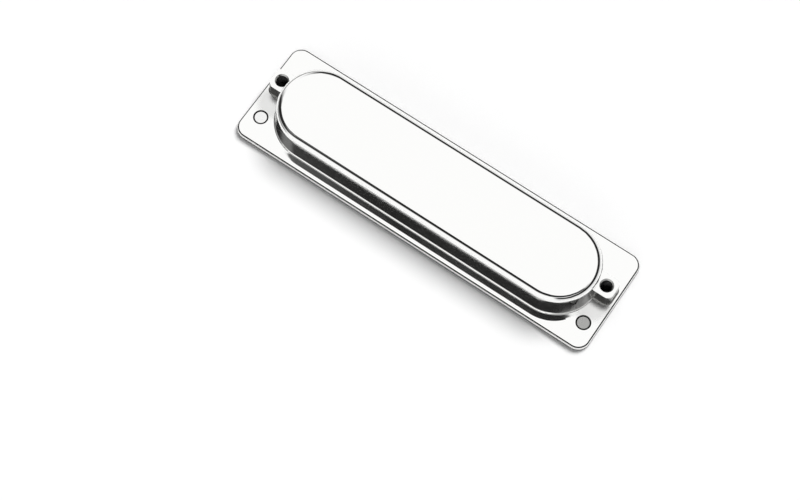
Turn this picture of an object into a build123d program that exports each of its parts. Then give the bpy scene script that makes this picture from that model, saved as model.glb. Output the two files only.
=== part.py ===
from build123d import *
import math
import os

# Flush pull handle for a sliding door: one plated die casting.
# It lies on its face: the face is at z = 0 and looks down, and the back looks up along +Z.
# X runs along the handle and Y across it. All sizes are in millimetres, and drafts in degrees.

# Face plate
plate_length = 150.0
plate_width = 42.0
plate_thickness = 2.5
plate_corner_radius = 5.0
rim_lean = 0.6  # how far the rim leans in between the face and the back
face_edge_radius = 0.8
back_edge_radius = 0.6

# Cup on the back of the plate, which goes into the door
flange_side_margin = 4.7  # from the plate's long edge to the foot of the cup
flange_end_margin = 8.2  # from the plate's short edge to the foot of the cup
cup_height = 12.0  # above the back of the plate
cup_draft = 4.2
cup_edge_radius = 2.4
foot_radius = 0.45  # round the foot of the cup and of the bosses on it

# Finger recess in the face
recess_side_wall = 6.3  # from the foot of the cup to the recess, along the long sides
recess_end_wall = 5.6  # the same at the round ends
recess_depth = 11.0
recess_draft = 2.5
recess_rim_radius = 1.2
recess_floor_radius = 2.2

# Screw boss at each end of the cup
boss_hole_reach = 2.25  # from the foot of the cup to the hole's axis
boss_hole_offset = 2.9  # from the centre line to the hole's axis, towards +Y
boss_width = 8.4
boss_end_wall = 4.0  # from the hole's axis to the boss's outer end
boss_height = 6.7  # above the back of the plate
boss_draft = 1.0
boss_corner_radius = 2.4
boss_edge_chamfer = 0.2

# Tapped hole in each boss, at its tapping size
tapping_radius = 2.1
mouth_radius = 2.6
drill_point_angle = 118.0
face_skin = 1.6  # metal left between the drill's point and the face

# Round marks of the ejector pins, beside the bosses
pin_mark_reach = 2.15  # from the foot of the cup to the mark's middle
pin_mark_offset = 10.9  # from the centre line to the mark's middle, towards -Y
pin_mark_radius = 2.8
pin_mark_groove_width = 0.6
pin_mark_groove_depth = 0.4
pin_mark_sink = 0.15

# Worked out from the sizes above
cup_length = plate_length - 2 * flange_end_margin
cup_width = plate_width - 2 * flange_side_margin
cup_end = cup_length / 2
hole_x = cup_end + boss_hole_reach
boss_top = plate_thickness + boss_height


def drafted_slot(length, width, height, draft, start):
    """A round-ended block that stands on z = start and narrows upwards by its draft."""
    plan = SlotOverall(length, width)
    return Pos(0, 0, start) * extrude(plan, amount=height, taper=draft)


def turned(points):
    """A solid of revolution about Z from the corners of its half section, given as (radius, z)."""
    section = make_face(Polyline([(radius, 0, z) for radius, z in points], close=True))
    return revolve(section, Axis.Z)


def face_plate():
    """The plate, with its rim leaning in towards the back and both edges rounded."""
    lean = math.degrees(math.atan2(rim_lean, plate_thickness))
    plan = RectangleRounded(plate_length, plate_width, plate_corner_radius)
    plate = extrude(plan, amount=plate_thickness, taper=lean)
    plate = fillet(plate.edges().group_by(Axis.Z)[0], face_edge_radius)
    return fillet(plate.edges().group_by(Axis.Z)[-1], back_edge_radius)


def cup():
    """The cup from inside the plate up, with its edge rounded."""
    root = plate_thickness / 2
    flare = 2 * root * math.tan(math.radians(cup_draft))
    height = root + cup_height
    block = drafted_slot(cup_length + flare, cup_width + flare, height, cup_draft, plate_thickness - root)
    return fillet(block.edges().group_by(Axis.Z)[-1], cup_edge_radius)


def screw_boss():
    """The boss at the +X end, from inside the cup's end wall to its rounded outer end."""
    root = plate_thickness / 2
    inner_x = cup_end - recess_end_wall
    outer_x = hole_x + boss_end_wall
    plan = Pos((inner_x + outer_x) / 2, boss_hole_offset) * Rectangle(outer_x - inner_x, boss_width)
    plan = fillet(plan.vertices().group_by(Axis.X)[-1], boss_corner_radius)
    boss = Pos(0, 0, plate_thickness - root) * extrude(plan, amount=root + boss_height, taper=boss_draft)
    return chamfer(boss.edges().group_by(Axis.Z)[-1], boss_edge_chamfer)


def raised_on(plate):
    """The plate with the cup and a boss at each end of it on its back, rounded at the foot."""
    boss = screw_boss()
    raised = cup() + boss + mirror(boss, about=Plane.YZ)
    body = plate + raised
    return fillet(new_edges(plate, raised, combined=body), foot_radius)


def finger_recess():
    """What is cut from the face: a round-ended trough with a drafted wall and a rounded floor."""
    length = cup_length - 2 * recess_end_wall
    width = cup_width - 2 * recess_side_wall
    trough = drafted_slot(length, width, recess_depth, recess_draft, 0)
    return fillet(trough.edges().group_by(Axis.Z)[-1], recess_floor_radius)


def recessed(body):
    """The body with the finger recess cut into its face and the recess's rim rounded over."""
    body = body - finger_recess()
    face = body.faces().sort_by(Axis.Z)[0]
    return fillet(face.inner_wires()[0].edges(), recess_rim_radius)


def tapped_hole():
    """What is cut from a boss: a blind drilled hole with a pointed floor and a chamfered mouth."""
    point = tapping_radius / math.tan(math.radians(drill_point_angle / 2))
    chamfer_depth = mouth_radius - tapping_radius
    return turned([
        (0, face_skin),
        (tapping_radius, face_skin + point),
        (tapping_radius, boss_top - chamfer_depth),
        (mouth_radius, boss_top),
        (0, boss_top),
    ])


def pin_mark():
    """What is cut from the plate's back: a sunk disc with a narrow groove round it."""
    disc = pin_mark_radius - pin_mark_groove_width
    return turned([
        (0, plate_thickness - pin_mark_sink),
        (disc, plate_thickness - pin_mark_sink),
        (disc, plate_thickness - pin_mark_groove_depth),
        (pin_mark_radius, plate_thickness - pin_mark_groove_depth),
        (pin_mark_radius, plate_thickness),
        (0, plate_thickness),
    ])


def handle_casting():
    """The whole casting."""
    body = recessed(raised_on(face_plate()))
    mark_x = cup_end + pin_mark_reach
    for side in (-1, 1):
        body -= Pos(side * hole_x, boss_hole_offset, 0) * tapped_hole()
        body -= Pos(side * mark_x, -pin_mark_offset, 0) * pin_mark()
    return body


os.makedirs("parts", exist_ok=True)
export_step(handle_casting(), "parts/handle_casting.step")
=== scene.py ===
import math

import bpy
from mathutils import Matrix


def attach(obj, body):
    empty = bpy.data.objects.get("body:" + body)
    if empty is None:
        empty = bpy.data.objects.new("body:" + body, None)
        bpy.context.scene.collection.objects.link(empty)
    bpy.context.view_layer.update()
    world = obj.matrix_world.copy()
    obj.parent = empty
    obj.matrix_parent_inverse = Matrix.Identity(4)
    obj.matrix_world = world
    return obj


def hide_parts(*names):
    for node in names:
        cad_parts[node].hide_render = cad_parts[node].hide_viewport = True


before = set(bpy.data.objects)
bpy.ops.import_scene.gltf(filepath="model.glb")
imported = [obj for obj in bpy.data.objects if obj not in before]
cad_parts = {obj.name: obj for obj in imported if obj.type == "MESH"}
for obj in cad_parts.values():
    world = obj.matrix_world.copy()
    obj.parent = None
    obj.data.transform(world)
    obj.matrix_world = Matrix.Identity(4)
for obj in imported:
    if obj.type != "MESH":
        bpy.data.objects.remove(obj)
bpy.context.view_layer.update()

# A flush pull handle for a sliding door, lying on its face with its plated back up.
# Lengths are in metres, as in the frame, unless a name says mm. Angles are in degrees.
MM = 0.001
BODY = "root"
NODE = "handle_casting"

# Places on the casting
PLATE_BACK = 2.5 * MM
BOSS_TOP = 9.2 * MM
BOSS_INNER_X = 65.1 * MM
BOSS_OUTER_X = 73.05 * MM
BOSS_HALF_WIDTH = 4.2 * MM
HOLE_X = 69.05 * MM
HOLE_Y = 2.9 * MM
HOLE_RADIUS = 2.1 * MM
MOUTH_RADIUS = 2.6 * MM
MOUTH_DEPTH = 0.5 * MM
MARK_X = 68.95 * MM
MARK_Y = -10.9 * MM
MARK_RADIUS = 2.8 * MM
MARK_DISC_RADIUS = 2.2 * MM
RECESS_FLOOR = 11.0 * MM
RECESS_HALF_WIDTH = 10.0 * MM
RECESS_END = 61.2 * MM

# Limits that sort the casting's faces into finishes: distances, and the z of a face's normal.
# A drop is how far the middle of a face lies below the back of the plate, or the top of a boss.
CLOSE = 0.02 * MM
NEAR = 0.1 * MM
FOOT_WIDTH = 0.6 * MM
FOOT_HEIGHT = 0.5 * MM
HOLE_LOWEST = 0.5 * MM
MARK_LOWEST = 1 * MM
MARK_DROP = 0.05 * MM
EDGE_DROP = 0.01 * MM
RIM_DROP = 0.3 * MM
BOSS_WALL_DROP = 0.25 * MM
FLAT_NORMAL = 0.7
STEEP_NORMAL = 0.2
EDGE_NORMALS = (0.45, 0.985)

# Corner between each boss and the cup, where a buffing wheel doesn't reach: in plan, and up the wall
CORNER_X = 68.0 * MM
CORNER_Y = -3.5 * MM
CORNER_FULL = 4.5 * MM
CORNER_END = 9.5 * MM
CORNER_LOW = 4 * MM
CORNER_HIGH = 7 * MM

# Thread in the two holes
THREAD_PITCH = 0.8 * MM
THREAD_ROOT_RADIUS = 2.5 * MM
THREAD_TURNS = 6
THREAD_START = 1.0 * MM
THREAD_STEPS = 40
THREAD_FLANK = 0.38 * MM
THREAD_TIP = 0.05 * MM
THREAD_INSIDE = 0.2 * MM

# Mesh and finishes
MERGE_WITHIN = 0.001 * MM
SHARP_ANGLE = 30
NOISE_MIDDLE = (0.3, 0.7)
CLOUD_SCALE = 60
CLOUD_DETAIL = 3
GRAIN_DETAIL = 4
GRAIN_DEPTH = 0.02 * MM
PLATING_COLOUR = (0.93, 0.93, 0.92)
# painted shade along the foot of the rim: near black below the first height, the plating colour
# above the second
RIM_FOOT_SHADE_COLOUR = (0.03, 0.03, 0.03)
RIM_FOOT_SHADE_HEIGHTS = (1.10 * MM, 1.30 * MM)

# Camera, fitted to the photograph's view
CAMERA_PLACE = (128.35 * MM, -235.86 * MM, 661.80 * MM)
CAMERA_TURN = (20.465, -1.135, 34.11)
CAMERA_LENS_MM = 89.846
SENSOR_MM = 36.0

# Floor and lamp
FLOOR_SIZE = 6
FLOOR_WHITE = 0.95
FLOOR_ROUGHNESS = 0.9
FLOOR_SPECULAR = 0.1
KEY_FROM = (0.08, 0.66, 0.87)
KEY_SPREAD = 30
KEY_STRENGTH = 2.7

# The studio that the plating mirrors. Middles and reaches are in the dome's plan, where 1 is the
# horizon. Other pairs are the two ends of a soft edge, from nothing to full.
WORLD_LEVEL = 1.05
PANEL_MIDDLE = (-0.11, 0.20)
PANEL_REACH = (0.33, 0.30)
PANEL_EDGE = (0.94, 1.06)
GAP_MIDDLE = (-0.22, 0.20)
GAP_REACH = (0.81, 0.92)
GAP_EDGE = (1.10, 0.90)
GAP_NEAR_HALF = (0.35, 0.10)
WALL_TOWARDS = (0.80, 0.60)  # to the right, and to the far side
WALL_SIDE_EDGE = (-0.20, 0.05)
WALL_TOP = 0.80
WALL_TOP_RISE = 0.07
WALL_TOP_EDGE = (0.03, -0.03)
WALL_FOOT_EDGE = (0.36, 0.46)
WALL_FOOT_DARK = 0.20
WALL_BAND_DARK = 0.80
LEFT_FOOT_TOP = (0.50, 0.30)
LEFT_FOOT_SIDE = (-0.45, -0.75)
LEFT_FOOT_DARK = 0.7
HORIZON_EDGE = (-0.10, -0.02)
DARKEST = 0.98
DIM_MIDDLE = (-0.36, -0.27)
DIM_REACH = (0.16, 0.24)
DIM_EDGE = (1.2, 0.4)
DIM_LIFT = 0.16
LEAST_PLAN = 0.001  # so that nothing is divided by 0 straight overhead


# Helpers

def deselect():
    """Nothing selected and object mode on, so that an operator meets only what is picked next."""
    if bpy.context.object and bpy.context.object.mode != "OBJECT":
        bpy.ops.object.mode_set(mode="OBJECT")
    bpy.ops.object.select_all(action="DESELECT")


def pick(piece):
    """Only this piece selected and active."""
    deselect()
    piece.select_set(True)
    bpy.context.view_layer.objects.active = piece


def apply_modifiers(piece):
    """Every modifier of a piece made part of its mesh."""
    pick(piece)
    for modifier in list(piece.modifiers):
        bpy.ops.object.modifier_apply(modifier=modifier.name)


# The casting

def casting_copy():
    """A copy of the casting with its loose triangles merged into one skin."""
    body = bpy.data.objects.new("handle_body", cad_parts[NODE].data.copy())
    bpy.context.scene.collection.objects.link(body)
    pick(body)
    bpy.ops.mesh.customdata_custom_splitnormals_clear()
    bpy.ops.object.mode_set(mode="EDIT")
    bpy.ops.mesh.select_all(action="SELECT")
    bpy.ops.mesh.remove_doubles(threshold=MERGE_WITHIN)
    bpy.ops.object.mode_set(mode="OBJECT")
    return body


def thread_cutter(side):
    """The metal that a tap takes out of one hole: a coil with a blunt triangular section."""
    bpy.ops.mesh.primitive_plane_add(size=1)
    coil = bpy.context.object
    coil.name = "thread_cutter"
    inner = HOLE_RADIUS - THREAD_INSIDE
    section = [
        (inner, 0, -THREAD_FLANK),
        (THREAD_ROOT_RADIUS, 0, -THREAD_TIP),
        (inner, 0, THREAD_FLANK),
        (THREAD_ROOT_RADIUS, 0, THREAD_TIP),
    ]
    for corner, place in zip(coil.data.vertices, section):
        corner.co = place
    bpy.ops.object.mode_set(mode="EDIT")
    bpy.ops.mesh.select_all(action="SELECT")
    bpy.ops.mesh.delete(type="ONLY_FACE")
    bpy.ops.object.mode_set(mode="OBJECT")
    screw = coil.modifiers.new("helix", "SCREW")
    screw.axis = "Z"
    screw.angle = 2 * math.pi
    screw.screw_offset = THREAD_PITCH
    screw.iterations = THREAD_TURNS
    screw.steps = THREAD_STEPS
    screw.render_steps = THREAD_STEPS
    screw.use_smooth_shade = False
    apply_modifiers(coil)
    bpy.ops.object.mode_set(mode="EDIT")
    bpy.ops.mesh.select_all(action="SELECT")
    bpy.ops.mesh.fill_holes(sides=len(section))
    bpy.ops.mesh.select_all(action="SELECT")
    bpy.ops.mesh.normals_make_consistent(inside=False)
    bpy.ops.object.mode_set(mode="OBJECT")
    top_turn = BOSS_TOP - THREAD_START
    coil.location = (side * HOLE_X, HOLE_Y, top_turn - THREAD_TURNS * THREAD_PITCH)
    bpy.ops.object.transform_apply(location=True, rotation=True, scale=True)
    return coil


def cut_threads(body):
    """The two holes of the copy, tapped."""
    for side in (-1, 1):
        deselect()
        coil = thread_cutter(side)
        cut = body.modifiers.new("thread", "BOOLEAN")
        cut.operation = "DIFFERENCE"
        cut.solver = "EXACT"
        cut.object = coil
        apply_modifiers(body)
        bpy.data.objects.remove(coil)


def polish_shading(body):
    """Smooth shading that keeps the flats flat and the sharp edges sharp."""
    pick(body)
    bpy.ops.object.shade_smooth_by_angle(angle=math.radians(SHARP_ANGLE))
    weighted = body.modifiers.new("weighted", "WEIGHTED_NORMAL")
    weighted.mode = "FACE_AREA"
    weighted.keep_sharp = True
    apply_modifiers(body)


# Nodes

def coordinates(tree, kind):
    """The x, y and z of a place or a direction, as a node tree's outputs."""
    place = tree.nodes.new("ShaderNodeTexCoord")
    split = tree.nodes.new("ShaderNodeSeparateXYZ")
    tree.links.new(place.outputs[kind], split.inputs[0])
    return split.outputs


def maths(tree, operation, *terms):
    """One sum of a node tree, from numbers and other nodes' outputs."""
    node = tree.nodes.new("ShaderNodeMath")
    node.operation = operation
    for socket, term in zip(node.inputs, terms):
        if isinstance(term, (int, float)):
            socket.default_value = term
        else:
            tree.links.new(term, socket)
    return node.outputs[0]


def times(tree, first, *others):
    """The product of numbers and outputs."""
    for other in others:
        first = maths(tree, "MULTIPLY", first, other)
    return first


def length(tree, along, across):
    """The straight line's length that goes so far along and so far across."""
    squares = [times(tree, leg, leg) for leg in (along, across)]
    return maths(tree, "SQRT", maths(tree, "ADD", *squares))


def ease(tree, value, start, end):
    """A soft step from 0 to 1 as a value goes from start to end."""
    node = tree.nodes.new("ShaderNodeMapRange")
    node.interpolation_type = "SMOOTHSTEP"
    node.inputs["From Min"].default_value = start
    node.inputs["From Max"].default_value = end
    tree.links.new(value, node.inputs["Value"])
    return node.outputs["Result"]


def noise(tree, scale, detail, stretch=(1, 1, 1)):
    """A noise pattern on the object's own coordinates; scale counts its grains in a metre."""
    place = tree.nodes.new("ShaderNodeTexCoord")
    mapping = tree.nodes.new("ShaderNodeMapping")
    mapping.inputs["Scale"].default_value = stretch
    texture = tree.nodes.new("ShaderNodeTexNoise")
    texture.inputs["Scale"].default_value = scale
    texture.inputs["Detail"].default_value = detail
    tree.links.new(place.outputs["Object"], mapping.inputs["Vector"])
    tree.links.new(mapping.outputs["Vector"], texture.inputs["Vector"])
    return texture.outputs["Fac"]


def spread(tree, value, low, high):
    """A noise pattern's middle range stretched between two values."""
    ramp = tree.nodes.new("ShaderNodeMapRange")
    ramp.inputs["From Min"].default_value = NOISE_MIDDLE[0]
    ramp.inputs["From Max"].default_value = NOISE_MIDDLE[1]
    ramp.inputs["To Min"].default_value = low
    ramp.inputs["To Max"].default_value = high
    tree.links.new(value, ramp.inputs["Value"])
    return ramp.outputs["Result"]


def bump(tree, shader, height, strength, distance):
    """Relief on the shader from a height pattern."""
    node = tree.nodes.new("ShaderNodeBump")
    node.inputs["Strength"].default_value = strength
    node.inputs["Distance"].default_value = distance
    tree.links.new(height, node.inputs["Height"])
    tree.links.new(node.outputs["Normal"], shader.inputs["Normal"])


# Finishes

def new_finish(name):
    """A new material and its Principled shader."""
    material = bpy.data.materials.new(name)
    material.use_nodes = True
    return material, material.node_tree.nodes["Principled BSDF"]


def unbuffed(tree):
    """How deep a place lies in the corner beside a boss, from 0 outside it to 1."""
    x, y, z = coordinates(tree, "Object")
    along = maths(tree, "SUBTRACT", maths(tree, "ABSOLUTE", x), CORNER_X)
    across = maths(tree, "SUBTRACT", y, CORNER_Y)
    beside = ease(tree, length(tree, along, across), CORNER_END, CORNER_FULL)
    return times(tree, beside, ease(tree, z, CORNER_HIGH, CORNER_LOW))


def metal(name, colour, rough, grain, stretch=(1, 1, 1), corner=0):
    """A plated metal: its colour, the range of its roughness, its grain's scale and strength,
    how the grain is stretched, and how much rougher it is in the bosses' corners."""
    material, shader = new_finish(name)
    tree = material.node_tree
    shader.inputs["Base Color"].default_value = (*colour, 1)
    shader.inputs["Metallic"].default_value = 1
    roughness = spread(tree, noise(tree, CLOUD_SCALE, CLOUD_DETAIL), *rough)
    if corner:
        roughness = maths(tree, "ADD", roughness, times(tree, unbuffed(tree), corner))
    tree.links.new(roughness, shader.inputs["Roughness"])
    scale, strength = grain
    bump(tree, shader, noise(tree, scale, GRAIN_DETAIL, stretch), strength, GRAIN_DEPTH)
    return material


def rim_plating_shaded_foot():
    """Satin plating with painted shade: near black along the foot of the rim, where the rim meets
    the face.
    """
    material = metal("rim_plating_shaded_foot", PLATING_COLOUR, (0.60, 0.66), (1400, 0.10))
    tree = material.node_tree
    z = coordinates(tree, "Object")["Z"]
    # painted shade: near black at the rim's foot, blending into the plating colour higher up
    foot_shade = tree.nodes.new("ShaderNodeMix")
    foot_shade.data_type = "RGBA"
    foot_shade.inputs["A"].default_value = (*RIM_FOOT_SHADE_COLOUR, 1)
    foot_shade.inputs["B"].default_value = (*PLATING_COLOUR, 1)
    tree.links.new(ease(tree, z, *RIM_FOOT_SHADE_HEIGHTS), foot_shade.inputs["Factor"])
    tree.links.new(foot_shade.outputs["Result"], tree.nodes["Principled BSDF"].inputs["Base Color"])
    return material


# The finishes' places among the body's material slots, in the order of the list below
BRIGHT, FACE, RECESS, THREAD, MARK, GROOVE, WALL, BOSS, EDGE, RIM, GREY_AND_SHADED = range(11)


def finishes():
    """The handle's finishes, in the order of the body's material slots."""
    return [
        metal("bright_plating", PLATING_COLOUR, (0.015, 0.04), (700, 0.02), corner=0.26),
        metal("satin_face", (0.86, 0.86, 0.85), (0.28, 0.34), (2600, 0.25), stretch=(0.08, 1, 1)),
        metal("blasted_recess", (0.84, 0.84, 0.83), (0.36, 0.44), (3200, 0.6)),
        # painted shade: the thread and the bores of the holes are near black, standing in for the
        # dark inside the holes
        metal("cut_thread_painted_shade", (0.10, 0.10, 0.10), (0.35, 0.45), (2500, 0.3)),
        metal("pin_mark", (0.88, 0.88, 0.87), (0.12, 0.18), (1800, 0.2)),
        # painted shade: the groove round each pin mark is near black, standing in for the shade in
        # the groove
        metal("pin_groove_painted_shade", (0.03, 0.03, 0.03), (0.5, 0.6), (1800, 0.2)),
        metal("wall_plating", (0.91, 0.91, 0.90), (0.07, 0.11), (900, 0.05), corner=0.10),
        # painted shade: the walls and feet of the bosses are a dark grey instead of bright plating
        metal("boss_plating_painted_shade", (0.26, 0.26, 0.25), (0.17, 0.21), (1400, 0.06)),
        # painted reflection: the rounded back edge of the plate is near black, a dark line standing
        # in for the dark that the edge mirrors
        metal("edge_plating_painted_reflection", (0.04, 0.04, 0.04), (0.08, 0.12), (900, 0.05)),
        rim_plating_shaded_foot(),
        # a grey plating: painted shade on the right pin mark's disc, which is otherwise like the
        # bright left one, and a darker grey on the mouths of the holes
        metal("grey_plating_and_painted_shade", (0.46, 0.46, 0.45), (0.24, 0.30), (1800, 0.2)),
    ]


def in_recess(place):
    """Whether a point lies within the finger recess, rim left out."""
    straight = max(0, abs(place.x) - (RECESS_END - RECESS_HALF_WIDTH))
    inside = math.hypot(straight, place.y) < RECESS_HALF_WIDTH + NEAR
    return inside and place.z < RECESS_FLOOR + NEAR


def on_boss(place):
    """Whether a point lies on the walls or the foot of a screw boss."""
    on_foot = place.z < PLATE_BACK + FOOT_HEIGHT
    half_width = BOSS_HALF_WIDTH + (FOOT_WIDTH if on_foot else NEAR)
    beside = abs(place.y - HOLE_Y) < half_width
    along = BOSS_INNER_X < abs(place.x) < BOSS_OUTER_X + FOOT_WIDTH
    return beside and along and PLATE_BACK + CLOSE < place.z < BOSS_TOP - BOSS_WALL_DROP


def finish_of(face):
    """Which finish a face of the body has, from its place."""
    place = face.center
    from_hole = math.hypot(abs(place.x) - HOLE_X, place.y - HOLE_Y)
    from_mark = math.hypot(abs(place.x) - MARK_X, place.y - MARK_Y)
    if from_hole < HOLE_RADIUS + CLOSE and place.z > HOLE_LOWEST:
        return THREAD
    if from_hole < MOUTH_RADIUS and HOLE_LOWEST < place.z < BOSS_TOP - MOUTH_DEPTH:
        return THREAD
    # the mouths of the holes are a darker grey
    if from_hole < MOUTH_RADIUS and BOSS_TOP - MOUTH_DEPTH <= place.z < BOSS_TOP - CLOSE:
        return GREY_AND_SHADED
    if from_mark < MARK_RADIUS + CLOSE and MARK_LOWEST < place.z < PLATE_BACK - MARK_DROP:
        on_disc = from_mark < MARK_DISC_RADIUS and face.normal.z > FLAT_NORMAL
        if not on_disc:
            return GROOVE
        # the right disc gets painted shade; the left one stays bright
        return MARK if place.x < 0 else GREY_AND_SHADED
    if in_recess(place):
        return RECESS
    if face.normal.z < -FLAT_NORMAL:
        return FACE
    if on_boss(place):
        return BOSS
    if abs(face.normal.z) < STEEP_NORMAL and place.z > PLATE_BACK + FOOT_HEIGHT:
        return WALL
    if place.z < PLATE_BACK - EDGE_DROP and EDGE_NORMALS[0] < face.normal.z < EDGE_NORMALS[1]:
        return EDGE
    if place.z < PLATE_BACK - RIM_DROP:
        return RIM
    return BRIGHT


def dress(body):
    """The finishes laid on the body, face by face."""
    body.data.materials.clear()
    for material in finishes():
        body.data.materials.append(material)
    for face in body.data.polygons:
        face.material_index = finish_of(face)


# The studio

def floor():
    """A wide white floor under the handle."""
    deselect()
    bpy.ops.mesh.primitive_plane_add(size=FLOOR_SIZE)
    ground = bpy.context.object
    ground.name = "floor"
    material, shader = new_finish("floor_white")
    shader.inputs["Base Color"].default_value = (FLOOR_WHITE, FLOOR_WHITE, FLOOR_WHITE, 1)
    shader.inputs["Roughness"].default_value = FLOOR_ROUGHNESS
    shader.inputs["Specular IOR Level"].default_value = FLOOR_SPECULAR
    ground.data.materials.append(material)


def oval(tree, x, y, middle, reach):
    """How far a direction is from the middle of an oval in the dome's plan, 1 on its edge."""
    across = maths(tree, "DIVIDE", maths(tree, "SUBTRACT", x, middle[0]), reach[0])
    along = maths(tree, "DIVIDE", maths(tree, "SUBTRACT", y, middle[1]), reach[1])
    return length(tree, across, along)


def dark_gap(tree, x, y):
    """The dark gap on the near side of the overhead panel, between its edge and the white below."""
    outside_panel = ease(tree, oval(tree, x, y, PANEL_MIDDLE, PANEL_REACH), *PANEL_EDGE)
    inside_gap = ease(tree, oval(tree, x, y, GAP_MIDDLE, GAP_REACH), *GAP_EDGE)
    return times(tree, outside_panel, inside_gap, ease(tree, y, *GAP_NEAR_HALF))


def dark_walls(tree, right, far, z):
    """A dark band on the far and right walls, higher at the far side, over a lighter foot."""
    towards_right = times(tree, right, WALL_TOWARDS[0])
    towards_far = times(tree, far, WALL_TOWARDS[1])
    facing = ease(tree, maths(tree, "ADD", towards_right, towards_far), *WALL_SIDE_EDGE)
    top = maths(tree, "ADD", times(tree, far, WALL_TOP_RISE), WALL_TOP)
    under_top = ease(tree, maths(tree, "SUBTRACT", z, top), *WALL_TOP_EDGE)
    band = times(tree, ease(tree, z, *WALL_FOOT_EDGE), WALL_BAND_DARK)
    return times(tree, facing, under_top, maths(tree, "ADD", band, WALL_FOOT_DARK))


def left_foot(tree, right, z):
    """A grey foot on the left wall."""
    below = ease(tree, z, *LEFT_FOOT_TOP)
    return times(tree, below, ease(tree, right, *LEFT_FOOT_SIDE), LEFT_FOOT_DARK)


def studio_world():
    """A white room with dark parts that the plating mirrors; the camera itself sees plain white."""
    world = bpy.data.worlds.new("studio")
    bpy.context.scene.world = world
    world.use_nodes = True
    tree = world.node_tree
    back = tree.nodes["Background"]
    x, y, z = coordinates(tree, "Generated")
    plan = maths(tree, "MAXIMUM", length(tree, x, y), LEAST_PLAN)
    right = maths(tree, "DIVIDE", x, plan)
    far = maths(tree, "DIVIDE", y, plan)
    dark = maths(tree, "MAXIMUM", dark_gap(tree, x, y), dark_walls(tree, right, far, z))
    dark = maths(tree, "MAXIMUM", dark, left_foot(tree, right, z))
    dark = times(tree, dark, ease(tree, z, *HORIZON_EDGE))
    # a dim patch in the gap on the left, less dark than the rest
    dim = ease(tree, oval(tree, x, y, DIM_MIDDLE, DIM_REACH), *DIM_EDGE)
    depth = maths(tree, "SUBTRACT", DARKEST, times(tree, dim, DIM_LIFT))
    light = maths(tree, "SUBTRACT", 1.0, times(tree, dark, depth))
    level = times(tree, light, WORLD_LEVEL)
    # what the camera sees behind the handle is plain white
    path = tree.nodes.new("ShaderNodeLightPath")
    seen = maths(tree, "MAXIMUM", path.outputs["Is Camera Ray"], path.outputs["Is Transmission Ray"])
    level = maths(tree, "MAXIMUM", level, seen)
    back.inputs["Color"].default_value = (1, 1, 1, 1)
    tree.links.new(level, back.inputs["Strength"])


def key_light():
    """A broad light from the far side, which gives the soft shadow on the near side."""
    deselect()
    bpy.ops.object.light_add(type="SUN", location=KEY_FROM)
    lamp = bpy.context.object
    lamp.name = "key_light"
    lamp.data.energy = KEY_STRENGTH
    lamp.data.angle = math.radians(KEY_SPREAD)
    lamp.visible_glossy = False
    lamp.rotation_euler = lamp.location.to_track_quat("Z", "Y").to_euler()


def camera():
    """The photograph's view, looking down on the back from the near right."""
    deselect()
    turn = [math.radians(angle) for angle in CAMERA_TURN]
    bpy.ops.object.camera_add(location=CAMERA_PLACE, rotation=turn)
    view = bpy.context.object
    view.data.lens = CAMERA_LENS_MM
    view.data.sensor_width = SENSOR_MM
    bpy.context.scene.camera = view


body = casting_copy()
cut_threads(body)
dress(body)
polish_shading(body)
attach(body, BODY)
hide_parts(NODE)

floor()
studio_world()
key_light()
camera()
bpy.context.scene.view_settings.view_transform = "Standard"
